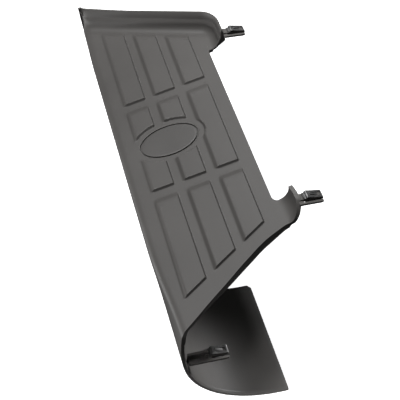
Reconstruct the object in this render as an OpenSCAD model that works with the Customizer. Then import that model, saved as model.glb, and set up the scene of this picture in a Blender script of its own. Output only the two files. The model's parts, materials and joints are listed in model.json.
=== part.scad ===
// Clip-on tread cover for a tailgate step.
// +X runs along the nose towards the cut end, +Y from the nose towards the vehicle, +Z out of the tread.
// The origin is on the underside of the tread, below the centre of the oval insert.

/* [Tread] */
// Wall thickness of the moulding
wall = 3.5; // [3:0.1:4]
// Length of the nose, end wall to cut end
nose_len = 414; // [408:1:420]
// Distance from the insert's centre to the square cut end of the nose
cut_x = 206; // [202:1:210]
// Distance from the insert's centre to the edge of the long notch
notch_y = 64.5; // [62:0.5:66]
// End of the notch next to the end wall
notch_x0 = -95; // [-98:1:-92]
// End of the notch next to the cut end
notch_x1 = 109.5; // [107:0.5:111]
// Distance from the insert's centre to the foot of the coves on the vehicle side
cove_y = 69; // [68:0.5:70]

/* [Nose and return flap] */
// Outer radius of the barrel below the nose's widest line
barrel_r = 89; // [87:1:91]
// Outer radius of the brow above the nose's widest line
brow_r = 115; // [112:1:118]
// Outermost line of the nose
nose_y = -51; // [-52:0.5:-50]
// Drop from the tread to the nose's widest line
widest_drop = 48.5; // [47:0.5:50]
// Radius between tread and brow
edge_r = 8; // [7:0.5:9]
// Depth of the skirt along the rest of the nose
skirt_drop = 30; // [26:1:34]
// Length of the return flap from the cut end
flap_len = 115; // [110:1:120]
// Vehicle-side edge of the return flap
flap_y = 23; // [21:0.5:25]

/* [End wall and corner lip] */
// Height of the end wall's rim above the tread
rim_h = 18.5; // [17.5:0.5:20]
// Outward reach of the end wall from the flat tread
wall_out = 14.7; // [14.3:0.1:15.5]
// Radius of the cove at the foot of the end wall
cove_r = 9; // [8:0.5:9.5]
// Skew of the end wall in plan, in degrees
end_skew = 31.4; // [30:0.2:33]
// Height of the near corner's lip above the tread, and radius of its cove
lip_h = 12.5; // [11:0.5:13]

/* [Tread pads] */
// Width of each raised pad
pad_w = 20.2; // [19:0.1:21]
// Pitch of the pad columns
pad_pitch = 30; // [29:0.5:31]
// Height of the pads above the tread
pad_h = 2.2; // [1.5:0.1:3]
// Gap between the pad rows
row_gap = 11; // [9:0.5:13]
// Length of the middle row
row_len = 103.5; // [100:0.5:106]

/* [Oval insert] */
// Length of the insert across the tread
insert_w = 54; // [52:0.5:56]
// Width of the insert along the nose
insert_d = 35; // [33:0.5:37]
// Depth of the pocket that holds the insert
pocket_depth = 1.5; // [1.2:0.1:1.7]
// Groove between the insert and its pocket
insert_gap = 0.7; // [0.5:0.1:1]
// Diameter of the insert's studs
stud_d = 4; // [3.6:0.1:4.4]
// Distance between the insert's studs
stud_pitch = 30; // [26:1:34]

/* [Clips] */
// Length of a clip along its blade
clip_len = 17.5; // [16:0.5:19]
// Breadth of a clip's sheet
clip_breadth = 7.8; // [7:0.2:8.4]
// Spread of a clip across its knees
clip_spread = 8.4; // [8:0.2:9]
// Thickness of the spring sheet
clip_t = 0.8; // [0.6:0.1:1]
// Slope of the blades below the plane of the tread, in degrees
blade_tilt = 16.2; // [14:0.2:18]
// Thickness of the blades and ribs
blade_t = 2.4; // [2:0.1:2.6]

/* [Hidden] */
$fn = 96;

// Skewed lines of the end wall in plan: where they cross y = 0
end_tan = tan(end_skew);
end_x = cut_x - nose_len - nose_y * end_tan;
flat_x = end_x + wall_out / cos(end_skew);
corner_r = 11;

// Slanted cut edge in plan, from the nose to the near corner's round
cut_slope = 0.67;
cut_mid = [146, 40];
near_foot = 2;
near_r = near_foot + lip_h + wall;
near_c = [116, cove_y - near_foot];
cut_top = near_c + near_r * [cos(20), sin(20)];

// End wall's section, as [outward, up] from the foot of its cove
cove_turn = 65;
cove_end = cove_r * [sin(cove_turn), 1 - cos(cove_turn)];
cove_back = (cove_r + wall) * [sin(cove_turn), -cos(cove_turn)] + [0, cove_r];
ledge = [wall_out - 2.7, 11.5];
rim_t = 2.6;
lap = 1;

// Points of the clips' tips, on the centre lines of their blades
blade_w = 7;
far_tip = [notch_x0 - 4.4, 104.8, wall + 6.2];
near_tip = [122.3, 104.6, wall + 3.7];
nose_tips = [[195.3, -12.2, wall - 53.5], [22, -12.2, wall - 26], [-150, -12.2, wall - 26]];
fold_r = blade_t / 2 + 0.15;
knee_y = -clip_len + 4.5;
tower_h = 12;
rib_gap = 4;
nut_d = 12;
nut_t = 0.8;
recess_d = nut_d + 1;
recess_depth = 1;
stud_z = recess_depth - nut_t;

function skew_x(x, y) = x + y * end_tan;

// Arc of radius r that starts straight below its centre, which is h above the tread
function cove_arc(h, r, from, to) = [
    for (i = [0 : 8]) let (a = from + (to - from) * i / 8) [r * sin(a), wall + h - r * cos(a)]
];

// ---------- sections ----------

// Region inside the skin, shrunk by inset, in the y-z plane
module envelope(inset) {
    widest_z = wall - widest_drop;
    barrel_y = nose_y + barrel_r;
    brow_y = nose_y + brow_r;
    edge_z = wall - edge_r;
    edge_y = brow_y - sqrt(pow(brow_r - edge_r, 2) - pow(edge_z - widest_z, 2));
    to_brow = [edge_y - brow_y, edge_z - widest_z] * 40 / (brow_r - edge_r);
    difference() {
        union() {
            intersection() {
                translate([brow_y, widest_z]) circle(r = brow_r - inset, $fn = 240);
                translate([-150, widest_z]) square([150 + barrel_y, widest_drop - inset]);
            }
            intersection() {
                translate([barrel_y, widest_z]) circle(r = barrel_r - inset, $fn = 240);
                translate([-150, widest_z - 150]) square([150 + barrel_y, 150]);
            }
            translate([barrel_y, widest_z - 150]) square([100, 150 + widest_drop - inset]);
        }
        polygon([
            [edge_y, edge_z],
            [edge_y, edge_z + 40],
            [edge_y - 60, edge_z + 60],
            [edge_y + to_brow[0], edge_z + to_brow[1]]
        ]);
    }
    translate([edge_y, edge_z]) circle(r = edge_r - inset);
}

// Tread, brow and barrel, in the y-z plane
module skin_section() {
    difference() {
        envelope(0);
        envelope(wall);
        translate([flap_y, -200]) square([300, 180]);
    }
}

// Cove, ledge and rim of the end wall, thickened by grow; x is outward from the flat tread
module wall_section(grow) {
    top = wall + rim_h + grow;
    polygon(concat(
        grow > 0 ? [[-1.5, wall - 0.6]] : [],
        cove_arc(cove_r, cove_r - grow, 0, cove_turn),
        [
            [ledge[0] - grow, wall + ledge[1]],
            [wall_out - rim_t - grow, top],
            [wall_out + grow, top],
            [wall_out + grow, wall + ledge[1] + 1]
        ],
        cove_arc(cove_r, cove_r + wall + grow, cove_turn, 0),
        grow > 0 ? [[-1.5, 0.6]] : []
    ));
}

// Closed end of the end wall, below and behind its section
module cheek_section() {
    polygon([
        [0, 0.5],
        cove_back + [0, wall],
        [wall_out - 0.5, wall + ledge[1] + 2],
        [wall_out, wall + rim_h - 2],
        [wall_out, -6],
        [0, -6]
    ]);
}

// Quarter-round cove of the near corner's lip, thickened by grow; x is outward from the flat tread
module lip_section(grow) {
    polygon(concat(
        grow > 0 ? [[-1.5, wall - 0.6]] : [],
        cove_arc(lip_h, lip_h - grow, 0, 90),
        cove_arc(lip_h, lip_h + wall + grow, 90, 0),
        grow > 0 ? [[-1.5, 0.6]] : []
    ));
}

// Ellipse with the given half axes
module oval(half_x, half_y) {
    steps = 60;
    polygon([for (i = [0 : steps - 1]) [half_x * cos(i * 360 / steps), half_y * sin(i * 360 / steps)]]);
}

// ---------- placing ----------

// Extrudes a y-z section along X
module along_x(x0, x1) {
    translate([x0, 0, 0]) rotate([90, 0, 90]) linear_extrude(height = x1 - x0) children();
}

// Extrudes an x-z outline across the whole width
module across_y() {
    rotate([90, 0, 0]) linear_extrude(height = 400, center = true) children();
}

// Runs an end-wall section along the straight, skewed stretch from the corner to past the nose
module along_end_wall() {
    back_off = corner_r * tan((90 - end_skew) / 2);
    translate([skew_x(flat_x, cove_y), cove_y, 0])
        rotate([0, 0, -end_skew])
            translate([0, -back_off, 0])
                rotate([90, 0, 0])
                    linear_extrude(height = 200)
                        mirror([1, 0]) children();
}

// Puts a clip or blade, drawn with its tip at the origin and pointing along +Y, at a tip point
module at_tip(tip) {
    translate(tip) rotate([-blade_tilt, 0, 0]) children();
}

// ---------- step shell ----------

// Opening under the nose between the end wall and the flap, in the x-z plane
module skirt_cut() {
    z1 = wall - skirt_drop;
    x1 = cut_x - flap_len;
    r = 20;
    translate([-400, -300]) square([400 + x1 - r, 300 + z1]);
    translate([-400, -300]) square([400 + x1, 300 + z1 - r]);
    translate([x1 - r, z1 - r]) circle(r = r);
}

// Flat tread, brow, skirt and return flap
module skin() {
    brow_line = nose_y + 15;
    difference() {
        along_x(end_x - 60, cut_x) skin_section();
        // beyond the end wall, and the flat tread's own end
        translate([0, 0, -300]) linear_extrude(height = 600) polygon([
            [skew_x(end_x, -80), -80],
            [skew_x(end_x, brow_line), brow_line],
            [skew_x(flat_x, brow_line), brow_line],
            [skew_x(flat_x, 200), 200],
            [-400, 200],
            [-400, -80]
        ]);
        // vehicle side of the tread
        translate([-300, cove_y, -20]) cube([600, 200, 60]);
        // tread and brow beyond the slanted cut edge
        translate([0, 0, wall - widest_drop]) linear_extrude(height = widest_drop + 20) polygon([
            [cut_mid[0] + (cut_mid[1] - nose_y) * cut_slope, nose_y],
            cut_mid,
            cut_top,
            [cut_top[0], 200],
            [300, 200],
            [300, nose_y]
        ]);
        across_y() skirt_cut();
    }
}

// Upturned end wall that wraps round the far corner and stops at the notch
module end_wall() {
    turn = 90 - end_skew;
    cheek_y = nose_y + 7.2;
    centre = [skew_x(flat_x, cove_y) + corner_r * tan(turn / 2), cove_y - corner_r, 0];
    intersection() {
        along_end_wall() wall_section(0);
        translate([-300, cheek_y + 1, -20]) cube([400, 300, 80]);
    }
    translate(centre) rotate([0, 0, 90 - lap]) rotate_extrude(angle = turn + 2 * lap)
        translate([corner_r, 0]) wall_section(0.05);
    translate([0, cove_y, 0]) along_x(centre[0], notch_x0) wall_section(0);
    // cheek that closes the wall at the nose
    intersection() {
        along_end_wall() cheek_section();
        translate([-300, cheek_y, -20]) cube([300, wall, 80]);
    }
}

// Lip round the corner between notch and cut edge; its top falls away towards the cut edge
module near_lip() {
    fall_x = near_c[0] + near_r;
    intersection() {
        union() {
            translate([0, cove_y, 0]) along_x(notch_x1, near_c[0]) lip_section(0);
            translate([near_c[0], near_c[1], 0]) rotate([0, 0, 20 - lap]) rotate_extrude(angle = 70 + 2 * lap)
                translate([near_foot, 0]) lip_section(0.05);
        }
        across_y() polygon([
            [0, -30],
            [0, wall + lip_h + 0.2],
            [near_c[0] + 7, wall + lip_h],
            [fall_x, wall + 1],
            [200, wall + 1],
            [200, -30]
        ]);
    }
}

// Flat tread between the near corner's lip and the cut edge
module near_floor() {
    linear_extrude(height = wall) polygon([
        [near_c[0] - 20, cut_mid[1]],
        cut_mid,
        cut_top,
        near_c,
        [near_c[0] - 20, near_c[1]]
    ]);
}

// Downturned edge below the slanted cut, deepest at the corner and running out towards the nose
module edge_rim() {
    nose_end = [cut_mid[0] + (cut_mid[1] + 25) * cut_slope, -25];
    intersection() {
        translate([0, 0, -10]) linear_extrude(height = 11) polygon([
            cut_top,
            cut_mid,
            nose_end,
            nose_end - [3, 0],
            cut_mid - [2.6, 1],
            cut_top - [2.4, 1]
        ]);
        along_x(100, 250) polygon([
            [cut_top[1] + 1, 2],
            [cut_top[1] + 1, -4.3],
            [cut_mid[1], -4],
            [nose_end[1], -0.2],
            [nose_end[1], 2]
        ]);
    }
}

// Long notch in the vehicle side of the tread, with one rounded end
module notch() {
    r = 6;
    difference() {
        translate([notch_x0, notch_y, -20]) cube([notch_x1 - notch_x0, 80, 80]);
        translate([notch_x1 - r, notch_y, -21]) cube([r + 1, r, 82]);
    }
    translate([notch_x1 - r, notch_y + r, -20]) cylinder(r = r, h = 80);
}

// Raised pads: three columns in three rows, cleared round the insert
module pads() {
    row2_x0 = -row_len / 2 + 0.5;
    row1_x1 = row2_x0 - row_gap;
    row3_x0 = row2_x0 + row_len + row_gap;
    far_x = flat_x + 2.6;
    near_x = 154;
    near_slope = 0.55;
    translate([0, 0, wall - 0.5]) linear_extrude(height = pad_h + 0.5) {
        for (column = [-1 : 1]) {
            y0 = 11.3 + column * pad_pitch - pad_w / 2;
            y1 = y0 + pad_w;
            polygon([[skew_x(far_x, y0), y0], [row1_x1, y0], [row1_x1, y1], [skew_x(far_x, y1), y1]]);
            difference() {
                translate([row2_x0, y0]) square([row_len, pad_w]);
                oval(24, 34.3);
            }
            polygon([[row3_x0, y0], [near_x - y0 * near_slope, y0], [near_x - y1 * near_slope, y1], [row3_x0, y1]]);
        }
    }
}

// Flat blade with its end inside the fold of a clip, and the rail that runs beside the clip
module blade(root, rail_root) {
    side = blade_t + rib_gap;
    rail_z = [-2, 0.2];
    translate([-blade_w / 2, root, -blade_t / 2]) cube([blade_w, -fold_r - clip_t - root, blade_t]);
    translate([side - blade_t / 2, rail_root, rail_z[0]]) cube([blade_t, -1 - rail_root, rail_z[1] - rail_z[0]]);
    translate([0, rail_root, -1]) cube([side, -clip_len - rail_root - 0.5, 1]);
}

// Blades of the two corner clips, with the gussets that carry them
module corner_blades() {
    lip_y = near_c[1] + near_r;
    for (tip = [far_tip, near_tip]) {
        at_tip(tip) blade(-23.5, -23.5);
    }
    along_x(notch_x0 - blade_t, notch_x0) polygon([
        [notch_y, 0],
        [cove_y + wall_out, wall + 2],
        [cove_y + wall_out, wall + rim_h - 4],
        [cove_y + ledge[0] + 1, wall + ledge[1]],
        [cove_y + cove_end[0], wall + cove_end[1] - 1],
        [notch_y, wall]
    ]);
    along_x(near_tip[0] - blade_t / 2, near_tip[0] + blade_t / 2) polygon([
        [cove_y - 2, 0.5],
        [lip_y - 2.5, wall + 2],
        [lip_y - 0.5, wall + 4],
        [lip_y - 2, wall + 10],
        [lip_y - 4, wall + 8],
        [cove_y + 6, wall]
    ]);
}

// Towers inside the nose: a tall rib that ends in a blade, with the rail beside it
module nose_towers() {
    root = -42;
    tower_top = 4;
    intersection() {
        for (tip = nose_tips) {
            at_tip(tip) {
                blade(-clip_len - 3, root);
                translate([-blade_t / 2, root, tower_top - tower_h])
                    cube([blade_t, -clip_len - root - 0.5, tower_h]);
            }
        }
        along_x(-300, 300) envelope(wall / 2);
    }
}

module step_shell() {
    color([0.30, 0.29, 0.28]) difference() {
        union() {
            difference() {
                union() {
                    skin();
                    end_wall();
                    near_floor();
                    near_lip();
                    edge_rim();
                }
                notch();
            }
            pads();
            corner_blades();
            nose_towers();
        }
        translate([0, 0, wall - pocket_depth]) linear_extrude(height = 10)
            oval(insert_d / 2 + insert_gap, insert_w / 2 + insert_gap);
        for (side = [-1, 1]) {
            translate([0, side * stud_pitch / 2, -5]) cylinder(d = stud_d + 0.2, h = 20);
            translate([0, side * stud_pitch / 2, -5]) cylinder(d = recess_d, h = 5 + recess_depth);
        }
    }
}

// ---------- oval insert and its nuts ----------

module badge_insert() {
    color([0.26, 0.25, 0.25]) {
        translate([0, 0, wall - pocket_depth]) linear_extrude(height = pocket_depth + 0.2)
            oval(insert_d / 2, insert_w / 2);
        for (side = [-1, 1]) {
            translate([0, side * stud_pitch / 2, stud_z / 2])
                cylinder(d = stud_d, h = wall - pocket_depth + 0.1);
        }
    }
}

// Push-on nut: a thin disc on a stud, flush in its recess in the underside of the tread
module stud_nut(side) {
    color([0.55, 0.55, 0.56]) translate([0, side * stud_pitch / 2, stud_z]) difference() {
        cylinder(d = nut_d, h = nut_t);
        translate([0, 0, -1]) cylinder(d = stud_d + 0.05, h = 4);
    }
}

module stud_nut_left() {
    stud_nut(-1);
}

module stud_nut_right() {
    stud_nut(1);
}

// ---------- clips ----------

// Section of a clip, pointing along +Y with its tip at the origin
module clip_outline(inset) {
    centre_y = -fold_r - clip_t;
    r = fold_r + clip_t - inset;
    knee = clip_spread / 2 - inset;
    neck = blade_t / 2 + clip_t + 0.2 - inset;
    end_y = inset > 0 ? -clip_len - 1 : -clip_len;
    translate([0, centre_y]) circle(r = r);
    polygon([
        [-r, centre_y], [-knee, knee_y], [-neck, end_y],
        [neck, end_y], [knee, knee_y], [r, centre_y]
    ]);
}

// Spring clip folded over the end of a blade, with knees that spread it and a window in each wing
module clip(tip) {
    color([0.12, 0.12, 0.13]) at_tip(tip) rotate([0, 90, 0]) difference() {
        translate([0, 0, -clip_breadth / 2]) linear_extrude(height = clip_breadth) difference() {
            clip_outline(0);
            clip_outline(clip_t);
        }
        translate([-10, knee_y + 2, -clip_breadth / 5]) cube([20, 5.5, clip_breadth * 0.4]);
    }
}

module clip_far_corner() {
    clip(far_tip);
}

module clip_near_corner() {
    clip(near_tip);
}

module clip_nose_near() {
    clip(nose_tips[0]);
}

module clip_nose_mid() {
    clip(nose_tips[1]);
}

module clip_nose_far() {
    clip(nose_tips[2]);
}

step_shell();
badge_insert();
stud_nut_left();
stud_nut_right();
clip_far_corner();
clip_near_corner();
clip_nose_near();
clip_nose_mid();
clip_nose_far();
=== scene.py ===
"""Visual model of a clip-on tread cover for a tailgate step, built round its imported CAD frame.

Lengths in the modelling code are in millimetres; they become metres when a mesh is made.
+X runs along the nose to the cut end, +Y towards the vehicle, +Z out of the tread.
"""

import json
import math

import bpy
import numpy as np
from mathutils import Matrix, Vector


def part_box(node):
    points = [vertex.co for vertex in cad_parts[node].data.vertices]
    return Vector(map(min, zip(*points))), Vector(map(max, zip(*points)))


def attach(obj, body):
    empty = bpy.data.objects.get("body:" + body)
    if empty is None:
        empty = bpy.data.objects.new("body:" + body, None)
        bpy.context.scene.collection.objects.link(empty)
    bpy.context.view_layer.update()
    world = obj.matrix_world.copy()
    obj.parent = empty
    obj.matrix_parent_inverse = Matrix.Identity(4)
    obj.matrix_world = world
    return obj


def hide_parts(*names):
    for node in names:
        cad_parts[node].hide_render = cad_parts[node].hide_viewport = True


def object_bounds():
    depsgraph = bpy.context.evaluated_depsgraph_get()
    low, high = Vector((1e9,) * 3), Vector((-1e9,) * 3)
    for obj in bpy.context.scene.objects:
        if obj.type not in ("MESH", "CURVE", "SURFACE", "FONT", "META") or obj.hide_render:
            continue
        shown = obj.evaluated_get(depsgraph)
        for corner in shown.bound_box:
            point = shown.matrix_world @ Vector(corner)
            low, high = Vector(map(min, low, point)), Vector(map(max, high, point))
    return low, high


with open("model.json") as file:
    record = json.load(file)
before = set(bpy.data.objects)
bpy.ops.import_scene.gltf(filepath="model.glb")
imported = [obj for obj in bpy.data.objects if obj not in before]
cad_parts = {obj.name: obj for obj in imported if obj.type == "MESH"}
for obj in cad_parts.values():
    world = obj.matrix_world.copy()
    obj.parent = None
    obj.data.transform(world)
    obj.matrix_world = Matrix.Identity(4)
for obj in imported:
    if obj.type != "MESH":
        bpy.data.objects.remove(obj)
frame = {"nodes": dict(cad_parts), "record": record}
cad_lo, cad_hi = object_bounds()

MM = 0.001
MOUNTS = {m["name"]: m for m in frame["record"]["mounts"]}

# ---------- driving sizes, in mm ----------

# The cut end, the nose's face and the oval come from the CAD's boxes, and the clips' tips from its mounts.
# The other sizes are part.scad's, or lie close to them where they were corrected against the photo.
shell_lo, shell_hi = (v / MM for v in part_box("step_shell"))
insert_lo, insert_hi = (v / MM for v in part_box("badge_insert"))

# Tread, notch and the far corner's round. FLAT_X is where the end wall's foot crosses y = 0.
WALL = 3.5
CUT_X = shell_hi.x
SKEW = math.radians(31.4)
SKEW_TAN = math.tan(SKEW)
FLAT_X = -159.6
COVE_Y = 69.0
NOTCH_Y = 65.3
NOTCH_X0 = -95.2
NOTCH_X1 = 109.5
NOTCH_R0, NOTCH_R1 = 1.5, 6.0
CORNER_R = 11.0

# Edge round between tread and nose, for the plain nose and for the brow of the cut end
EDGE_R = 8.0
EDGE_Z = WALL - EDGE_R
PLAIN_EDGE_Y, PLAIN_TURN = -40.5, 90.0
BROW_EDGE_Y, BROW_TURN = -35.04, 67.75
BROW_FROM, BROW_TO = 110.0, 205.0

# Side of the nose, skirt, barrel and return flap
NOSE_Y = shell_lo.y
NOSE_INSET, INSET_FROM, INSET_TO = 1.3, -200.0, -130.0
SIDE_Y = PLAIN_EDGE_Y - EDGE_R
SIDE_LEAN, SIDE_DROP = 2.5, 40.5
SIDE_TOP_Z = -8.0
SKIRT_Z = WALL - 30.0
WIDEST_Z = WALL - 48.5
BARREL_R = 89.0
BARREL_C = (NOSE_Y + BARREL_R, WIDEST_Z)
BROW_R = 115.0
BROW_C = (NOSE_Y + BROW_R, WIDEST_Z)
FLAP_X = CUT_X - 117.5
FLAP_Y = 23.0
FLAP_R = 20.0
FLAP_TIP_R = 4.0
FLAP_BOW = 1.0

# Sheet at the cut edge: the rim grows by RIM_EXTRA in the y range RIM_GROWS and loses the share RIM_FADE
# of that in RIM_FADES, and the nose gets thinner
CUT_COLUMNS = 3
RIM_EXTRA, RIM_GROWS = 5.2, (-36.0, 34.0)
RIM_FADE, RIM_FADES = 0.5, (48.0, COVE_Y)
NOSE_THINNING, NOSE_THINNING_COLUMNS = 0.9, 2.5

# Pads: (y from, y to) of each column, X of the rows' ends, and the soft clearance round the insert
PAD_COLUMNS = ((-28.8, -8.6), (1.2, 21.4), (31.2, 51.4))
PAD_H = 2.2
ROW1_END, ROW2_START, ROW2_END, ROW3_START = -61.7, -51.0, 52.2, 63.5
ROW3_END, ROW3_SLOPE = 154.0, 0.55
CLEAR_X, CLEAR_Y = 24.0, 34.3

# Oval insert and its pocket
INSERT_A = (insert_hi.x - insert_lo.x) / 2
INSERT_B = (insert_hi.y - insert_lo.y) / 2
INSERT_GAP = 0.7
POCKET_Z = WALL - 1.5

# Blades and clips
BLADE_T = 2.4
BLADE_W = 7.0
BLADE_TILT = math.radians(16.2)
CLIP_LEN, CLIP_H, CLIP_W, CLIP_T = 17.5, 7.8, 8.4, 0.8
FOLD_R = BLADE_T / 2 + 0.15


def smooth(lo, hi, v):
    """Smooth step of v from 0 at lo to 1 at hi."""
    t = np.clip((np.asarray(v, float) - lo) / (hi - lo), 0.0, 1.0)
    return t * t * (3 - 2 * t)


# ---------- mesh helpers ----------


def new_object(name, points, faces, material, smooth_angle, bevel=None):
    """A mesh piece from points in mm, with rounded edges if a bevel is given. It rides on the root body."""
    mesh = bpy.data.meshes.new(name)
    mesh.from_pydata([tuple(c * MM for c in p) for p in points], [], [tuple(f) for f in faces])
    mesh.validate()
    mesh.update()
    obj = bpy.data.objects.new(name, mesh)
    bpy.context.scene.collection.objects.link(obj)
    mesh.materials.append(material)
    mesh.shade_smooth()
    if bevel:
        mod = obj.modifiers.new("edges", "BEVEL")
        mod.width = bevel * MM
        mod.segments = 2
        mod.limit_method = "ANGLE"
        mod.angle_limit = math.radians(smooth_angle)
        mod.harden_normals = True
        mod.use_clamp_overlap = True
    mesh.set_sharp_from_angle(angle=math.radians(smooth_angle))
    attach(obj, "root")
    return obj


def prism(outline, low, high, place):
    """Points and faces of an outline in (u, v) extruded in w from low to high, mapped to points by place."""
    n = len(outline)
    points = [place(u, v, low) for u, v in outline] + [place(u, v, high) for u, v in outline]
    faces = [list(range(n))[::-1], list(range(n, 2 * n))]
    faces += [[i, (i + 1) % n, n + (i + 1) % n, n + i] for i in range(n)]
    return points, faces


def join(parts):
    """Several (points, faces) pairs as one."""
    points, faces = [], []
    for p, f in parts:
        base = len(points)
        points += list(p)
        faces += [[base + i for i in face] for face in f]
    return points, faces


# ---------- materials ----------

BLACK, WHITE = (0.0, 0.0, 0.0, 1.0), (1.0, 1.0, 1.0, 1.0)


class Nodes:
    """Short calls for building a node material."""

    def __init__(self, name):
        self.material = bpy.data.materials.new(name)
        self.material.use_nodes = True
        self.tree = self.material.node_tree
        self.shader = self.tree.nodes["Principled BSDF"]

    def add(self, kind, **values):
        """A node with its inputs or settings set by name."""
        node = self.tree.nodes.new(kind)
        for key, value in values.items():
            if key in node.inputs:
                node.inputs[key].default_value = value
            else:
                setattr(node, key, value)
        return node

    def link(self, source, target):
        """Links an output to an input."""
        self.tree.links.new(source, target)

    def feed(self, value, socket):
        """Links an output to the socket, or sets a constant on it."""
        if hasattr(value, "node"):
            self.link(value, socket)
        else:
            socket.default_value = value

    def coords(self, scale=(1.0, 1.0, 1.0)):
        """Object coordinates, scaled."""
        place = self.add("ShaderNodeMapping")
        place.inputs["Scale"].default_value = scale
        self.link(self.add("ShaderNodeTexCoord").outputs["Object"], place.inputs["Vector"])
        return place.outputs["Vector"]

    def noise(self, vector, scale, detail, rough, distortion=0.0):
        """Noise texture's value at vector."""
        values = {"Scale": scale, "Detail": detail, "Roughness": rough, "Distortion": distortion}
        node = self.add("ShaderNodeTexNoise", **values)
        self.link(vector, node.inputs["Vector"])
        return node.outputs["Fac"]

    def ramp(self, value, stops):
        """Colour ramp of value through (position, colour) stops."""
        node = self.add("ShaderNodeValToRGB")
        ramp = node.color_ramp
        while len(ramp.elements) < len(stops):
            ramp.elements.new(0.5)
        for element, (at, colour) in zip(ramp.elements, stops):
            element.position = at
            element.color = colour
        self.link(value, node.inputs["Fac"])
        return node.outputs["Color"]

    def span(self, value, lo, hi, to_lo, to_hi):
        """Value mapped from lo..hi to to_lo..to_hi."""
        node = self.add("ShaderNodeMapRange")
        node.inputs["From Min"].default_value = lo
        node.inputs["From Max"].default_value = hi
        node.inputs["To Min"].default_value = to_lo
        node.inputs["To Max"].default_value = to_hi
        self.link(value, node.inputs["Value"])
        return node.outputs["Result"]

    def mix(self, factor, a, b):
        """Colour a mixed with b by the factor."""
        node = self.add("ShaderNodeMix", data_type="RGBA")
        for key, value in (("Factor", factor), ("A", a), ("B", b)):
            kind = "VALUE" if key == "Factor" else "RGBA"
            self.feed(value, next(s for s in node.inputs if s.name == key and s.type == kind))
        return next(s for s in node.outputs if s.type == "RGBA")

    def math(self, operation, a, b):
        """Result of a math operation on a and b."""
        node = self.add("ShaderNodeMath", operation=operation)
        for socket, value in zip(node.inputs, (a, b)):
            self.feed(value, socket)
        return node.outputs["Value"]

    def bump(self, heights):
        """Chained bumps, each (height output, distance in mm, strength)."""
        normal = None
        for height, distance, strength in heights:
            node = self.add("ShaderNodeBump", Distance=distance * MM, Strength=strength)
            self.link(height, node.inputs["Height"])
            if normal:
                self.link(normal, node.inputs["Normal"])
            normal = node.outputs["Normal"]
        self.link(normal, self.shader.inputs["Normal"])


def grey(value, warm=0.0):
    """Grey of a linear value, tinted towards red by the share warm."""
    return (value * (1 + warm), value, value * (1 - warm), 1.0)


def moulded_plastic(name, base, warm, rough, grain):
    """Semi-matt moulded plastic: fine grain, faint flow marks, lighter edges that stand for wear and for a
    painted highlight where light catches them, and a few scuffs.
    """
    m = Nodes(name)
    here = m.coords()
    cloud = m.noise(here, 14.0, 4.0, 0.55)
    flow = m.noise(m.coords((0.25, 1.0, 1.0)), 60.0, 3.0, 0.6, 0.4)
    fine = m.noise(here, 1500.0, 2.0, 0.6)
    speck = m.noise(here, 3800.0, 1.0, 0.5)
    tone = m.ramp(cloud, ((0.3, grey(base * 0.93, warm)), (0.7, grey(base * 1.07, warm))))
    streaks = m.ramp(flow, ((0.35, grey(base * 0.80, warm)), (0.65, grey(base * 1.25, warm))))
    tone = m.mix(0.10, tone, streaks)
    # Sharp edges are lightened: partly wear, partly a painted highlight where light catches the edges
    edge = m.add("ShaderNodeNewGeometry").outputs["Pointiness"]
    wear_and_edge_highlight = m.ramp(edge, ((0.515, BLACK), (0.58, WHITE)))
    tone = m.mix(m.math("MULTIPLY", wear_and_edge_highlight, 0.35), tone, grey(base * 1.9, warm))
    scuff = m.ramp(m.noise(m.coords((0.4, 3.0, 1.0)), 220.0, 5.0, 0.7, 1.2), ((0.66, BLACK), (0.78, WHITE)))
    tone = m.mix(m.math("MULTIPLY", scuff, 0.10), tone, grey(base * 1.8, warm))
    m.link(tone, m.shader.inputs["Base Color"])
    m.link(m.span(cloud, 0.3, 0.7, rough - 0.035, rough + 0.035), m.shader.inputs["Roughness"])
    m.shader.inputs["Specular IOR Level"].default_value = 0.5
    m.bump(((fine, 0.06 * grain, 0.55), (speck, 0.03 * grain, 0.5), (flow, 0.05, 0.35)))
    return m.material


def black_spring_steel(name, base, metal):
    """Phosphated spring steel: near black, oily sheen, rubbed along its edges."""
    m = Nodes(name)
    here = m.coords()
    cloud = m.noise(here, 260.0, 4.0, 0.6)
    brushed = m.noise(m.coords((1.0, 0.12, 1.0)), 2600.0, 3.0, 0.6)
    tone = m.ramp(cloud, ((0.3, grey(base * 0.75)), (0.7, grey(base * 1.3))))
    edge = m.add("ShaderNodeNewGeometry").outputs["Pointiness"]
    rubbed = m.ramp(edge, ((0.53, BLACK), (0.62, WHITE)))
    tone = m.mix(m.math("MULTIPLY", rubbed, 0.5), tone, grey(0.30))
    m.link(tone, m.shader.inputs["Base Color"])
    m.shader.inputs["Metallic"].default_value = metal
    m.link(m.span(cloud, 0.3, 0.7, 0.30, 0.48), m.shader.inputs["Roughness"])
    m.bump(((brushed, 0.02, 0.4), (cloud, 0.04, 0.3)))
    return m.material


SHELL_MAT = moulded_plastic("moulded_grey", 0.092, 0.045, 0.50, 1.0)
INSERT_MAT = moulded_plastic("insert_grey", 0.086, 0.04, 0.46, 0.7)
CLIP_MAT = black_spring_steel("black_spring_steel", 0.26, 0.8)
NUT_MAT = black_spring_steel("zinc_steel", 0.35, 1.0)

# ---------- camera, fitted to the photo ----------

CAM_POS = Vector((604.8, 16.2, 627.4)) * MM
CAM_BACK = Vector((0.644, 0.010, 0.765)).normalized()
CAM_UP = CAM_BACK.cross(Vector((0.259, 0.938, -0.231))).normalized()
CAM_RIGHT = CAM_UP.cross(CAM_BACK).normalized()
cam_data = bpy.data.cameras.new("camera")
cam_data.lens = 85.7
cam_data.sensor_width = 36.0
cam_data.clip_start, cam_data.clip_end = 0.01, 50.0
camera = bpy.data.objects.new("camera", cam_data)
bpy.context.scene.collection.objects.link(camera)
cam_turn = Matrix((CAM_RIGHT, CAM_UP, CAM_BACK)).transposed().to_4x4()
camera.matrix_world = Matrix.Translation(CAM_POS) @ cam_turn
bpy.context.scene.camera = camera

# ---------- shell: one moulded sheet ----------

# The sheet is a grid. Its rows follow one another from the vehicle side over the nose and round the flap,
# and its columns from the end wall to the cut end.

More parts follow.
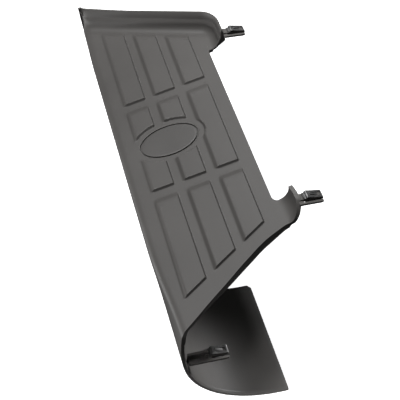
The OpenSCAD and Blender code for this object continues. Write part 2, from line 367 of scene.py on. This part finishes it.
# Slanted and square cut edge as (y, x) in plan
CUT_EDGE = np.array([
    (-52.0, CUT_X), (-45.0, 204.2), (-39.0, 200.2), (-27.0, 192.2), (-11.0, 181.0), (6.0, 170.0),
    (21.0, 159.6), (42.0, 146.2), (50.0, 142.2), (63.0, 137.6), (69.0, 135.4),
])
CUT_SMOOTHING = 5.0


def cut_x(y):
    """X of the cut edge at y: a smoothed run through its points."""
    around = np.linspace(y - CUT_SMOOTHING, y + CUT_SMOOTHING, 9)
    return float(min(CUT_X, np.interp(around, CUT_EDGE[:, 0], CUT_EDGE[:, 1]).mean()))


def brow_share(x):
    """0 where the nose is plain and upright, 1 where it has the tall brow of the cut end."""
    return smooth(BROW_FROM, BROW_TO, x)


def nose_inset(x):
    """How far the nose stands back near the end wall."""
    return NOSE_INSET * (1.0 - smooth(INSET_FROM, INSET_TO, x))


def edge_point(t, x):
    """(y, z) on the edge round between tread and nose, t from 0 to 1, at x."""
    m = brow_share(x)
    a = t * np.radians(PLAIN_TURN)
    plain = (PLAIN_EDGE_Y + nose_inset(x) - EDGE_R * np.sin(a), EDGE_Z + EDGE_R * np.cos(a))
    a = t * np.radians(BROW_TURN)
    brow = (BROW_EDGE_Y - EDGE_R * np.sin(a), EDGE_Z + EDGE_R * np.cos(a))
    return plain[0] * (1 - m) + brow[0] * m, plain[1] * (1 - m) + brow[1] * m


def side_y(z, x):
    """y of the nose's side below the edge round, at z and x."""
    m = brow_share(x)
    plain = SIDE_Y + nose_inset(x) + (z - EDGE_Z) * SIDE_LEAN / SIDE_DROP
    brow = BROW_C[0] - np.sqrt(BROW_R**2 - (z - BROW_C[1]) ** 2)
    return plain * (1 - m) + brow * m


def flap_line(z):
    """X of the flap's upstream edge at z, with the round corner into the skirt."""
    if z >= SKIRT_Z:
        return FLAP_X - FLAP_R
    depth = min(SKIRT_Z - z, FLAP_R)
    return FLAP_X - FLAP_R + math.sqrt(FLAP_R**2 - (FLAP_R - depth) ** 2)


def notch_lines(y):
    """X of the notch's two ends at y, with their fillets."""
    d0 = min(max(y - NOTCH_Y, 0.0), NOTCH_R0)
    d1 = min(max(y - NOTCH_Y, 0.0), NOTCH_R1)
    x0 = NOTCH_X0 + NOTCH_R0 - math.sqrt(NOTCH_R0**2 - (NOTCH_R0 - d0) ** 2)
    x1 = NOTCH_X1 - NOTCH_R1 + math.sqrt(NOTCH_R1**2 - (NOTCH_R1 - d1) ** 2)
    return x0, x1


# Lines of columns beside the end wall's foot, at the start and at the end of a pad, either side of the
# insert's pocket, and beside the cut edge
FOOT_LINE = 5.5
PAD_START_LINES = (-2.0, 2.6)
PAD_END_LINES = (-1.6, -0.3, 1.4)
AFTER_PAD_LINE = 6.0
POCKET_LINE = 26.0
CUT_LINES = (2.9, 2.5, 0.0)
# Column counts between the successive lines of stations()
COUNTS = (5, 24, 14, 3, 4, 8, 6, 13, 80, 12, 4, 4, 8, 6, 4, 10, 12, 4, 4, 5, 5, 1, 3)


def stations(y, flap_x, y_cut=None):
    """X of every column at a row whose plan position is y, or y_cut at the cut end."""
    foot = FLAT_X + y * SKEW_TAN
    x0, x1 = notch_lines(y)
    end = ROW3_END - ROW3_SLOPE * y
    right = cut_x(y if y_cut is None else y_cut)
    lines = [foot, foot + FOOT_LINE, x0]
    lines += [ROW1_END + d for d in PAD_END_LINES] + [ROW2_START + d for d in PAD_START_LINES]
    lines += [-POCKET_LINE, POCKET_LINE]
    lines += [ROW2_END + d for d in PAD_END_LINES] + [ROW3_START + d for d in PAD_START_LINES]
    lines += [flap_x, x1] + [end + d for d in PAD_END_LINES]
    lines += [end + AFTER_PAD_LINE] + [right - d for d in CUT_LINES]
    xs = [lines[0]]
    for a, b, n in zip(lines, lines[1:], COUNTS):
        xs += [a + (b - a) * (k + 1) / n for k in range(n)]
    return np.array(xs)


COL_NOTCH0 = sum(COUNTS[:2])
COL_FLAP = sum(COUNTS[:15])
COL_NOTCH1 = sum(COUNTS[:16])
COL_LAST = sum(COUNTS)

# Rows on the flat tread: close together by the notch and at the pads' edges, evenly spread elsewhere
TREAD_END_Y = -35.0
ROW_PITCH, ROW_GAP = 0.75, 0.45
PAD_SHARP_ROWS = (1.6, 1.2, 0.9, 0.6, 0.35, 0.1, -0.15, -0.5, -1.0, -1.8)
PAD_SOFT_ROWS = (-3.2, -2.4, -1.7, -1.1, -0.5, 0.0, 0.5, 1.1, 1.7, 2.4, 3.2)
flat_rows = {COVE_Y, 68.2, 67.4, 66.8, 66.3, 65.9, 65.6, 65.4, NOTCH_Y}
flat_rows |= {64.8, 63.9, 63.0, 61.5, 60.0, 58.0, 56.0, 54.5}
for y0, y1 in PAD_COLUMNS:
    flat_rows |= {y1 + d for d in PAD_SHARP_ROWS}
    flat_rows |= {y0 + d for d in PAD_SOFT_ROWS}
for y in np.arange(TREAD_END_Y, 54.0, ROW_PITCH):
    if min(abs(y - other) for other in flat_rows) > ROW_GAP:
        flat_rows.add(float(y))
flat_rows = sorted(flat_rows, reverse=True)

# All rows, each a kind and its own measure: y, a share of the way, z, or an angle round the barrel
rows = [("flat", y) for y in flat_rows]
rows += [("to_edge", t) for t in (0.25, 0.5, 0.75)]
rows += [("edge", t) for t in np.linspace(0, 1, 11)]
rows += [("side_top", t) for t in (0.33, 0.66)]
rows += [("side", z) for z in (SIDE_TOP_Z, -10.5, -13.0, -16.0, -19.0, -22.0, -24.5, SKIRT_Z)]
rows += [("side", z) for z in (-27.5, -29.0, -31.0, -33.5, -36.5, -39.5, -42.5, WIDEST_Z)]
END_A = math.radians(360.0) - math.acos((FLAP_Y - BARREL_C[0]) / BARREL_R)
rows += [("barrel", a) for a in np.linspace(math.pi, END_A, 40)[1:]]
ROW_NOTCH = flat_rows.index(NOTCH_Y)
ROW_SKIRT = rows.index(("side", SKIRT_Z))


def row_points(kind, v):
    """Base points of one row."""
    if kind == "flat":
        xs = stations(v, flap_line(0.0))
        ys, zs = np.full_like(xs, v), np.full_like(xs, WALL)
    elif kind == "to_edge":
        xs = stations(TREAD_END_Y - 5.0 * v, flap_line(0.0), TREAD_END_Y)
        y_out, _ = edge_point(0.0, xs)
        ys, zs = TREAD_END_Y + (y_out - TREAD_END_Y) * v, np.full_like(xs, WALL)
    elif kind == "edge":
        xs = stations(float(edge_point(v, 0.0)[0]), flap_line(0.0), float(edge_point(v, CUT_X)[0]))
        ys, zs = edge_point(v, xs)
    elif kind == "side_top":
        z_cut = float(edge_point(1.0, CUT_X)[1])
        y_cut = float(side_y(z_cut + (SIDE_TOP_Z - z_cut) * v, CUT_X))
        xs = stations(float(side_y(-6.0, 0.0)), flap_line(0.0), y_cut)
        _, z_in = edge_point(1.0, xs)
        zs = z_in + (SIDE_TOP_Z - z_in) * v
        ys = side_y(zs, xs)
    elif kind == "side":
        xs = stations(float(side_y(v, 0.0)), flap_line(v), float(side_y(v, CUT_X)))
        zs = np.full_like(xs, v)
        ys = side_y(zs, xs)
    else:
        left_over = (END_A - v) * BARREL_R
        shift = FLAP_TIP_R - math.sqrt(FLAP_TIP_R**2 - max(FLAP_TIP_R - left_over, 0.0) ** 2)
        xs = stations(NOSE_Y, FLAP_X + shift)
        bow = FLAP_BOW * math.sin(math.pi * (v - math.pi) / (END_A - math.pi))
        xs[COL_FLAP:] -= bow * (xs[COL_FLAP:] - FLAP_X) / (CUT_X - FLAP_X)
        ys = np.full_like(xs, BARREL_C[0] + BARREL_R * math.cos(v))
        zs = np.full_like(xs, BARREL_C[1] + BARREL_R * math.sin(v))
    return np.stack([xs, ys, zs], axis=1)


# A pad rises softly from the tread on its nose side and its end-wall side, and drops sharply on the others
PAD_SOFT_Y, PAD_SOFT_X, PAD_SOFT_X1 = 2.2, 4.0, 4.5
PAD_SHARP_IN, PAD_SHARP_OUT_Y, PAD_SHARP_OUT_X = 0.45, 0.75, 0.95
PAD_START_SHIFT = 1.5


def pad_relief(x, y):
    """Height of the raised pads above the tread at plan points."""
    y = np.asarray(y, float)
    foot = FLAT_X + y * SKEW_TAN
    end3 = ROW3_END - ROW3_SLOPE * y
    pad_rows = (
        (foot + PAD_SOFT_X1, ROW1_END, PAD_SOFT_X1),
        (ROW2_START + PAD_START_SHIFT, ROW2_END, PAD_SOFT_X),
        (ROW3_START + PAD_START_SHIFT, end3, PAD_SOFT_X),
    )
    share = np.zeros_like(x)
    for y0, y1 in PAD_COLUMNS:
        rise = smooth(y0 - PAD_SOFT_Y, y0 + PAD_SOFT_Y, y)
        drop = smooth(y1 - PAD_SHARP_IN, y1 + PAD_SHARP_OUT_Y, y)
        across = rise * (1 - drop)
        for start, end, soft in pad_rows:
            drop = smooth(end - PAD_SHARP_IN, end + PAD_SHARP_OUT_X, x)
            along = smooth(start - soft, start + soft, x) * (1 - drop)
            share = np.maximum(share, across * along)
    from_insert = np.sqrt((x / CLEAR_X) ** 2 + (y / CLEAR_Y) ** 2)
    return PAD_H * share * smooth(0.985, 1.03, from_insert)


class Sheet:
    """Vertices with a base point, relief, thickness and sometimes a set underside point."""

    def __init__(self):
        self.base, self.relief, self.thick, self.under, self.faces = [], [], [], [], []

    def add(self, point, relief=0.0, thick=WALL, under=None):
        """Adds a vertex and returns its index."""
        self.base.append(tuple(point))
        self.relief.append(relief)
        self.thick.append(thick)
        self.under.append(under)
        return len(self.base) - 1

    def quad(self, *corners):
        """A face, without the corners that repeat."""
        ring = [c for i, c in enumerate(corners) if c != corners[i - 1]]
        if len(ring) > 2:
            self.faces.append(ring)

    def solid(self):
        """Closed mesh: top face, underside and the rim that joins them along every free edge."""
        used = sorted({i for f in self.faces for i in f})
        new = {old: k for k, old in enumerate(used)}
        base = np.array([self.base[i] for i in used])
        faces = [[new[i] for i in f] for f in self.faces]
        normal = np.zeros_like(base)
        for f in faces:
            p = base[f]
            n = np.cross(p[1] - p[0], p[2] - p[0])
            if len(f) == 4:
                n = n + np.cross(p[2] - p[0], p[3] - p[0])
            normal[f] += n
        normal /= np.maximum(np.linalg.norm(normal, axis=1, keepdims=True), 1e-9)
        relief = np.array([self.relief[i] for i in used])[:, None]
        thick = np.array([self.thick[i] for i in used])[:, None]
        top = base + normal * relief
        under = base - normal * thick
        for k, old in enumerate(used):
            if self.under[old] is not None:
                under[k] = self.under[old]
        n = len(base)
        out = [list(f) for f in faces] + [[n + i for i in reversed(f)] for f in faces]
        edges = dict.fromkeys((a, b) for f in faces for a, b in zip(f, f[1:] + f[:1]))
        for a, b in edges:
            if (b, a) not in edges:
                out.append([b, a, n + a, n + b])
        return np.vstack([top, under]), out


CORNER_X = FLAT_X + COVE_Y * SKEW_TAN + CORNER_R * math.tan((math.pi / 2 - SKEW) / 2)
CORNER_C = (CORNER_X, COVE_Y - CORNER_R)
CORNER_CORE = 5.0
SKEW_A = math.pi - SKEW


def round_corner(p):
    """Pulls a tread point near the far corner inside the corner's round."""
    dx, dy = p[0] - CORNER_C[0], p[1] - CORNER_C[1]
    reach, a = math.hypot(dx, dy), math.atan2(dy, dx)
    if not math.pi / 2 < a < SKEW_A or reach <= CORNER_CORE:
        return tuple(p)
    limit = min(CORNER_R / math.sin(a), CORNER_R / math.cos(a - SKEW_A))
    pulled = CORNER_CORE + (reach - CORNER_CORE) * (CORNER_R - CORNER_CORE) / (limit - CORNER_CORE)
    scale = pulled / reach
    return (CORNER_C[0] + dx * scale, CORNER_C[1] + dy * scale, p[2])


# Vertices of the grid
sheet = Sheet()
grid = []
for kind, v in rows:
    points = row_points(kind, v)
    relief = pad_relief(points[:, 0], points[:, 1]) if kind == "flat" else np.zeros(len(points))
    indices = []
    for c, p in enumerate(points):
        q, thick, under = tuple(p), WALL, None
        if kind == "flat":
            q = round_corner(p)
            if c >= COL_LAST - CUT_COLUMNS:
                fade = 1.0 - RIM_FADE * float(smooth(*RIM_FADES, v))
                thick += RIM_EXTRA * float(smooth(*RIM_GROWS, v)) * fade
            under = (q[0], q[1], WALL - thick)
        elif kind in ("barrel", "side"):
            thick = WALL - NOSE_THINNING * float(smooth(COL_LAST - NOSE_THINNING_COLUMNS, COL_LAST, c))
        indices.append(sheet.add(q, relief[c], thick, under))
    grid.append(indices)

# Faces of the grid, without the notch, the missing part of the barrel and a hole for the insert
HOLE_EDGE = INSERT_GAP + 1.65
HOLE_A, HOLE_B = INSERT_A + HOLE_EDGE, INSERT_B + HOLE_EDGE
hole_edges = {}
for r in range(len(rows) - 1):
    for c in range(COL_LAST):
        if r < ROW_NOTCH and COL_NOTCH0 <= c < COL_NOTCH1:
            continue
        if r >= ROW_SKIRT and c < COL_FLAP:
            continue
        corners = (grid[r][c], grid[r + 1][c], grid[r + 1][c + 1], grid[r][c + 1])
        if rows[r][0] == "flat":
            mid = np.mean([sheet.base[i] for i in corners], axis=0)
            if (mid[0] / HOLE_A) ** 2 + (mid[1] / HOLE_B) ** 2 < 1:
                hole_edges.update(dict.fromkeys(zip(corners, corners[1:] + corners[:1])))
                continue
        sheet.quad(*corners)

# Pocket of the oval insert: rings from the hole in the grid down to the pocket's floor
loop = {i for a, b in hole_edges if (b, a) not in hole_edges for i in (a, b)}
loop = sorted(loop, key=lambda i: math.atan2(sheet.base[i][1], sheet.base[i][0]))
pocket_a, pocket_b = INSERT_A + INSERT_GAP + 0.25, INSERT_B + INSERT_GAP + 0.25
POCKET_RIM = ((0.55, WALL), (0.22, WALL - 0.05), (0.05, WALL - 0.22), (0.0, WALL - 0.5), (0.0, POCKET_Z))
rings = [(pocket_a + wider, pocket_b + wider, z) for wider, z in POCKET_RIM]
rings += [(pocket_a * k, pocket_b * k, POCKET_Z) for k in (0.9, 0.75, 0.55, 0.3, 0.1)]
previous = loop
for a, b, z in rings:
    ring = []
    for i in loop:
        angle = math.atan2(sheet.base[i][1], sheet.base[i][0])
        rho = 1 / math.hypot(math.cos(angle) / a, math.sin(angle) / b)
        x, y = rho * math.cos(angle), rho * math.sin(angle)
        ring.append(sheet.add((x, y, z), 0.0, WALL, (x, y, 0.0)))
    for k in range(len(loop)):
        sheet.quad(previous[k - 1], previous[k], ring[k], ring[k - 1])
    previous = ring
sheet.faces.append(list(previous))

# End wall: its section, as (way out, height, thickness), is swept along the foot line, which goes
# up the nose, round the corner and to the notch
FOOT_R = 9.0
foot_angles = np.radians(np.linspace(6, 68, 11))
WALL_SECTION = [(FOOT_R * math.sin(a), FOOT_R * (1 - math.cos(a)), WALL - 0.5 * a) for a in foot_angles]
WALL_SECTION += [
    (8.75, 6.9, 3.0), (9.2, 7.8, 3.0), (9.8, 8.6, 2.9), (10.4, 9.3, 2.8), (11.0, 9.9, 2.7),
    (11.4, 10.5, 2.6), (11.6, 11.4, 2.6), (11.8, 12.8, 2.5), (12.1, 14.4, 2.3), (12.5, 15.9, 2.1),
    (13.0, 17.2, 1.9), (13.5, 18.1, 1.7), (14.1, 18.5, 1.6),
]
SECTION_TOP = WALL_SECTION[-1][1]
# Over the nose the wall leans in by LEAN_IN and its rim comes back by LEAN_BACK. There the rim also flares
# outwards and gets thicker. It stops at RIM_END, which keeps it inside the CAD's box.
LEAN_IN, LEAN_BACK = 5.5, 1.3
RIM_FLARE, FLARE_THICKENING = 3.4, 0.9
RIM_END = -203.6
NOTCH_THINNING, THINNING_COLUMNS = 0.5, 7
foot_line = [(r, 0) for r in range(ROW_SKIRT, -1, -1)] + [(0, c) for c in range(1, COL_NOTCH0 + 1)]


def wall_direction(kind, p):
    """Plan direction, not of unit length, in which the wall's section leaves the foot line at p."""
    skewed = np.array((-math.cos(SKEW), math.sin(SKEW)))
    along = np.array((-1 / math.cos(SKEW), 0.0))
    if kind != "flat":
        return along
    dx, dy = p[0] - CORNER_C[0], p[1] - CORNER_C[1]
    a = math.atan2(dy, dx)
    if dy > 0 and a < SKEW_A:
        return np.array((math.cos(a), math.sin(a))) if a > math.pi / 2 else np.array((0.0, 1.0))
    turned = float(smooth(8.0, 35.0, abs(p[1])))
    return skewed * (1 - turned) + along * turned


columns = []
for r, c in foot_line:
    kind, v = rows[r]
    start = grid[r][c]
    p = sheet.base[start]
    way = wall_direction(kind, p)
    # From the edge round on the wall leans inwards, and below it fades out into the nose
    lift = 1.0 if kind in ("flat", "to_edge", "edge") else 1.0 - float(smooth(-5.0, -17.0, p[2]))
    lean = {"flat": 0.0, "to_edge": 0.0, "edge": v}.get(kind, 1.0)
    flare = float(smooth(-2.0, -46.0, p[1]))
    thin = 1.0 - NOTCH_THINNING * float(smooth(COL_NOTCH0 - THINNING_COLUMNS, COL_NOTCH0, c))
    column = [start]
    for d, z, thick in WALL_SECTION:
        share = float(smooth(0.0, SECTION_TOP, z))
        height = p[2] + lift * (z + (WALL - p[2]) * share)
        inward = LEAN_IN * float(smooth(0.0, 9.0, z)) - LEAN_BACK * float(smooth(11.0, SECTION_TOP, z))
        outward = RIM_FLARE * flare * float(smooth(8.0, SECTION_TOP + 3.0, z))
        y = p[1] + way[1] * d + lean * lift * inward
        x = max(p[0] + way[0] * d - outward, RIM_END)
        column.append(sheet.add((x, y, height), 0.0, (thick + FLARE_THICKENING * flare) * thin))
    columns.append(column)
for one, two in zip(columns, columns[1:]):
    for k in range(len(WALL_SECTION)):
        sheet.quad(one[k], two[k], two[k + 1], one[k + 1])

# Lip of the near corner, as (x of the foot, x, y and height of the tip): it falls from an upright cove
# to the flat cut edge
LIP = np.array([
    (109.5, 109.5, 80.4, 12.8), (116.5, 117.8, 81.9, 12.6), (120.5, 124.0, 82.1, 11.6),
    (124.0, 129.2, 80.8, 8.6), (127.5, 133.2, 78.2, 4.6), (131.5, 135.7, 74.8, 1.5),
    (135.4, 136.3, 71.0, 0.2),
])
LIP_STEPS = 14
LIP_UPRIGHT = 12.5
fan = []
for c in range(COL_NOTCH1, COL_LAST + 1):
    start = grid[0][c]
    p = np.array(sheet.base[start])
    feet = np.linspace(p[0] - 1.5, p[0] + 1.5, 7).clip(LIP[0, 0], LIP[-1, 0])
    at = np.interp(feet, LIP[:, 0], np.arange(len(LIP))).mean()
    tip = np.array([np.interp(at, np.arange(len(LIP)), LIP[:, k]) for k in (1, 2, 3)])
    if c == COL_NOTCH1:
        tip[0] = NOTCH_X1
    tip[2] += WALL
    height = tip[2] - WALL
    across = tip[:2] - p[:2]
    up_share = height / LIP_UPRIGHT
    p1 = np.array((*(p[:2] + across * 0.55), p[2]))
    p2 = np.array((*(tip[:2] - across * 0.33 * (1 - up_share)), tip[2] - 0.55 * height))
    column = [start]
    for k in range(1, LIP_STEPS + 1):
        t = k / LIP_STEPS
        q = (1 - t) ** 3 * p + 3 * (1 - t) ** 2 * t * p1 + 3 * (1 - t) * t**2 * p2 + t**3 * tip
        under = None
        if c >= COL_LAST - CUT_COLUMNS:
            extra = RIM_EXTRA * (1.0 - RIM_FADE) * (1.0 - float(smooth(0.0, 1.1, t)))
            under = (q[0], q[1], q[2] - WALL - extra)
        column.append(sheet.add(q, 0.0, WALL, under))
    fan.append(column)
for one, two in zip(fan, fan[1:]):
    for k in range(LIP_STEPS):
        sheet.quad(one[k], two[k], two[k + 1], one[k + 1])

shell_points, shell_faces = sheet.solid()
shell = new_object("step_shell_visual", shell_points, shell_faces, SHELL_MAT, 40.0)
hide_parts("step_shell")

# ---------- ribs, blades and gussets ----------


def at_tip(tip):
    """Maps a clip's own (x, y, z), tip at the origin and pointing along +Y, to the model."""
    c, s = math.cos(BLADE_TILT), math.sin(BLADE_TILT)

    def place(x, y, z):
        return (tip[0] + x, tip[1] + y * c + z * s, tip[2] - y * s + z * c)

    return place


def along_x(u, v, w):
    """Takes an outline in (y, z) along X."""
    return (w, u, v)


SITES = ("clip_far_corner", "clip_near_corner", "clip_nose_near", "clip_nose_mid", "clip_nose_far")
TIPS = {name: [c / MM for c in MOUNTS[name + "_site"]["pos_m"]] for name in SITES}
# Ends of the blades, seen from the clip's tip: where the lips and the towers begin
LIP_ROOT, TOWER_ROOT = -22.0, -35.0
# Range in x of the rail beside a blade
RAIL = (BLADE_T / 2 + 4.0, BLADE_T * 1.5 + 4.0)


def at_site(name, outline, low, high):
    """Outline in a clip's own (y, z), extruded along X."""
    place = at_tip(TIPS[name])
    return prism(outline, low, high, lambda u, v, w: place(w, u, v))


# Each site has a tongue that carries the clip, a rail beside it and a web between them; in the nose
# they stand on a tower
rib_parts = []
for name in SITES:
    inside = name.startswith("clip_nose")
    root = -CLIP_LEN - 3 if inside else LIP_ROOT
    rail_root = TOWER_ROOT if inside else LIP_ROOT
    half = BLADE_T / 2
    tongue = [
        (root, -half), (-FOLD_R - 1.0, -half), (-FOLD_R, -half + 0.7), (-FOLD_R, half - 0.7),
        (-FOLD_R - 1.0, half), (root, half),
    ]
    rib_parts.append(at_site(name, tongue, -BLADE_W / 2, BLADE_W / 2))
    rail = [(rail_root, -2.0), (-2.5, -2.0), (-1.0, -1.0), (-1.0, 0.2), (rail_root, 0.2)]
    rib_parts.append(at_site(name, rail, *RAIL))
    web_end = -CLIP_LEN - 0.5
    web = [(rail_root, -1.0), (web_end, -1.0), (web_end, 0.0), (rail_root, 0.0)]
    rib_parts.append(at_site(name, web, 0.0, RAIL[0] + 0.3))
    if inside:
        tower = [
            (rail_root, -8.0), (-CLIP_LEN - 2.0, -8.0), (web_end, -6.0), (web_end, 4.0), (rail_root, 4.0),
        ]
        rib_parts.append(at_site(name, tower, -half, half))
gusset = [
    (NOTCH_Y + 1.0, 1.6), (78.0, 5.0), (83.8, 8.0), (84.6, 13.0), (83.6, 20.5), (81.4, 20.5), (80.8, 13.0),
    (77.4, 9.6), (73.5, 5.2), (69.5, 3.4), (NOTCH_Y + 0.2, 3.3),
]
rib_parts.append(prism(gusset, NOTCH_X0 - BLADE_T, NOTCH_X0 - 0.05, along_x))
near_x = TIPS["clip_near_corner"][0]
near_rib = [
    (77.4, 2.0), (80.9, 3.0), (83.6, 6.0), (84.8, 9.0), (84.8, 14.0), (83.6, 14.2), (82.0, 10.6), (79.4, 5.4),
]
rib_parts.append(prism(near_rib, near_x - BLADE_T, near_x, along_x))
rib_points, rib_faces = join(rib_parts)
new_object("shell_ribs", rib_points, rib_faces, SHELL_MAT, 30.0, bevel=0.35)

# ---------- oval insert ----------

INSERT_STEPS = 180
# The visible oval is smaller than the piece's box by this much all round
INSERT_CUT = 0.3
# Half section as (share of the half axis, height above the tread)
INSERT_SECTION = [
    (0.0, 0.1), (0.55, 0.1), (0.9, 0.1), (0.985, 0.08), (0.996, 0.0), (1.0, -0.15), (1.0, -1.3),
    (0.985, -1.45), (0.0, -1.45),
]
points, faces = [], []
for share, z in INSERT_SECTION:
    if share == 0.0:
        points.append((0.0, 0.0, WALL + z))
        continue
    half_x, half_y = (INSERT_A - INSERT_CUT) * share, (INSERT_B - INSERT_CUT) * share
    for k in range(INSERT_STEPS):
        a = 2 * math.pi * k / INSERT_STEPS
        points.append((half_x * math.cos(a), half_y * math.sin(a), WALL + z))
ring_starts = range(1, len(points) - 1, INSERT_STEPS)
following = [(k + 1) % INSERT_STEPS for k in range(INSERT_STEPS)]
faces += [[0, 1 + k, 1 + n] for k, n in enumerate(following)]
for start in ring_starts[:-1]:
    below = start + INSERT_STEPS
    faces += [[start + k, below + k, below + n, start + n] for k, n in enumerate(following)]
faces += [[ring_starts[-1] + n, ring_starts[-1] + k, len(points) - 1] for k, n in enumerate(following)]
insert = new_object("oval_insert", points, faces, INSERT_MAT, 40.0)
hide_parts("badge_insert")

# ---------- clips ----------


def clip_path():
    """Outer line of the clip's sheet from one neck over the fold to the other, as (x, y)."""
    half = CLIP_T / 2
    reach = FOLD_R + half
    centre = -FOLD_R - CLIP_T
    knee_y = -CLIP_LEN + 3.0
    right = [
        (BLADE_T / 2 + 0.9 + half, -CLIP_LEN), (BLADE_T / 2 + 0.35 + half, -CLIP_LEN + 0.9),
        (BLADE_T / 2 + 0.45 + half, -CLIP_LEN + 1.6), (CLIP_W / 2 - half - 0.25, knee_y - 0.5),
        (CLIP_W / 2 - half, knee_y), (CLIP_W / 2 - half - 0.12, knee_y + 0.8),
        (CLIP_W / 2 - half - 0.65, knee_y + 3.5), (CLIP_W / 2 - half - 1.15, knee_y + 6.2), (reach, centre),
    ]
    arc = [(reach * math.cos(a), centre + reach * math.sin(a)) for a in np.radians(np.arange(15, 166, 15))]
    return right + arc + [(-x, y) for x, y in reversed(right)]


def clip(name):
    """Spring clip: a sheet folded over the blade's end, with a window and a bent barb in each wing."""
    path = clip_path()
    heights = [-CLIP_H / 2, -CLIP_H / 2 + 0.5, -1.9, -1.4, 1.4, 1.9, CLIP_H / 2 - 0.5, CLIP_H / 2]
    body = Sheet()
    strips = []
    # The necks at the two ends of the path are narrower
    for i, (x, y) in enumerate(path):
        narrow = 1.0 if abs(i - len(path) / 2) < len(path) / 2 - 2 else 0.82
        strips.append([body.add((x, y, z * narrow), 0.0, CLIP_T) for z in heights])
    for i in range(len(path) - 1):
        y_mid = (path[i][1] + path[i + 1][1]) / 2
        for k in range(len(heights) - 1):
            # The window takes the three middle strips of the height
            in_window = 2 <= k <= 4 and -CLIP_LEN + 5.2 < y_mid < -5.0
            if not in_window:
                body.quad(strips[i][k], strips[i + 1][k], strips[i + 1][k + 1], strips[i][k + 1])
    parts = [body.solid()]
    for side in (-1, 1):
        barb = [(side * 1.75, -5.2), (side * 4.1, -11.6), (side * 3.5, -11.9), (side * 1.25, -5.4)]
        parts.append(prism(barb, -1.3, 1.3, lambda u, v, w: (u, v, w)))
    points, faces = join(parts)
    place = at_tip(TIPS[name])
    points = [place(z, y, -x) for x, y, z in points]
    obj = new_object(name + "_visual", points, faces, CLIP_MAT, 40.0, bevel=0.12)
    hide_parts(name)


for name in SITES:
    clip(name)

for name in ("stud_nut_left", "stud_nut_right"):
    node = frame["nodes"][name]
    node.data.materials.clear()
    node.data.materials.append(NUT_MAT)

# ---------- floor and light ----------

# The floor is the photo's white background. It gives no light to the part, so that the underside stays dark.
FLOOR_HALF, FLOOR_GAP = 6, 0.0005
floor_z = cad_lo.z - FLOOR_GAP
floor_corners = [(x * FLOOR_HALF, y * FLOOR_HALF, floor_z) for x, y in ((-1, -1), (1, -1), (1, 1), (-1, 1))]
floor_mesh = bpy.data.meshes.new("floor")
floor_mesh.from_pydata(floor_corners, [], [(0, 1, 2, 3)])
floor = bpy.data.objects.new("floor", floor_mesh)
bpy.context.scene.collection.objects.link(floor)
floor_mat = Nodes("floor_white")
floor_mat.shader.inputs["Base Color"].default_value = (0.9, 0.9, 0.9, 1.0)
floor_mat.shader.inputs["Roughness"].default_value = 0.9
floor_mat.shader.inputs["Emission Color"].default_value = WHITE
floor_mat.shader.inputs["Emission Strength"].default_value = 1.0
floor_mesh.materials.append(floor_mat.material)
floor.visible_diffuse = False
floor.visible_glossy = False

world = bpy.data.worlds.new("studio")
bpy.context.scene.world = world
world.use_nodes = True
background = world.node_tree.nodes["Background"]
background.inputs["Color"].default_value = WHITE
background.inputs["Strength"].default_value = 0.05
bpy.context.scene.view_settings.view_transform = "Standard"


def add_light(data, position, target):
    """Places a light at position, aimed at target."""
    obj = bpy.data.objects.new(data.name, data)
    obj.location = position
    obj.rotation_euler = (Vector(target) - Vector(position)).to_track_quat("-Z", "Y").to_euler()
    bpy.context.scene.collection.objects.link(obj)


def area_light(name, position, target, size, watts):
    """Rectangular light; size is in metres."""
    data = bpy.data.lights.new(name, "AREA")
    data.shape = "RECTANGLE"
    data.size, data.size_y = size
    data.energy = watts
    add_light(data, position, target)


def open_end_spot(name, position, target, degrees, watts):
    """Soft-edged spot that reaches only the inside of the open nose."""
    data = bpy.data.lights.new(name, "SPOT")
    data.energy = watts
    data.spot_size = math.radians(degrees)
    data.spot_blend = 0.9
    data.shadow_soft_size = 0.04
    add_light(data, position, target)


# A key light from above, three weaker area lights, and two spots into the open nose
area_light("key", (-0.16, -0.18, 1.47), (0, 0, 0), (0.35, 0.35), 12.8)
area_light("near_top", (-0.24, 0.19, 0.42), (-0.24, 0.04, 0), (0.5, 0.12), 1.1)
area_light("sheen", (-1.1, 0.35, 1.1), (0.1, 0.09, 0), (0.5, 0.5), 1.4)
area_light("brow", (-0.1, -0.9, -0.07), (0.02, -0.05, -0.05), (0.9, 0.1), 4.5)
open_end_spot("barrel_inside", (0.1, 0.45, -0.06), (0.19, -0.045, -0.07), 14.0, 10.0)
open_end_spot("flap_corner", (0.42, -0.25, 0.15), (0.21, -0.005, -0.13), 15.0, 9.0)
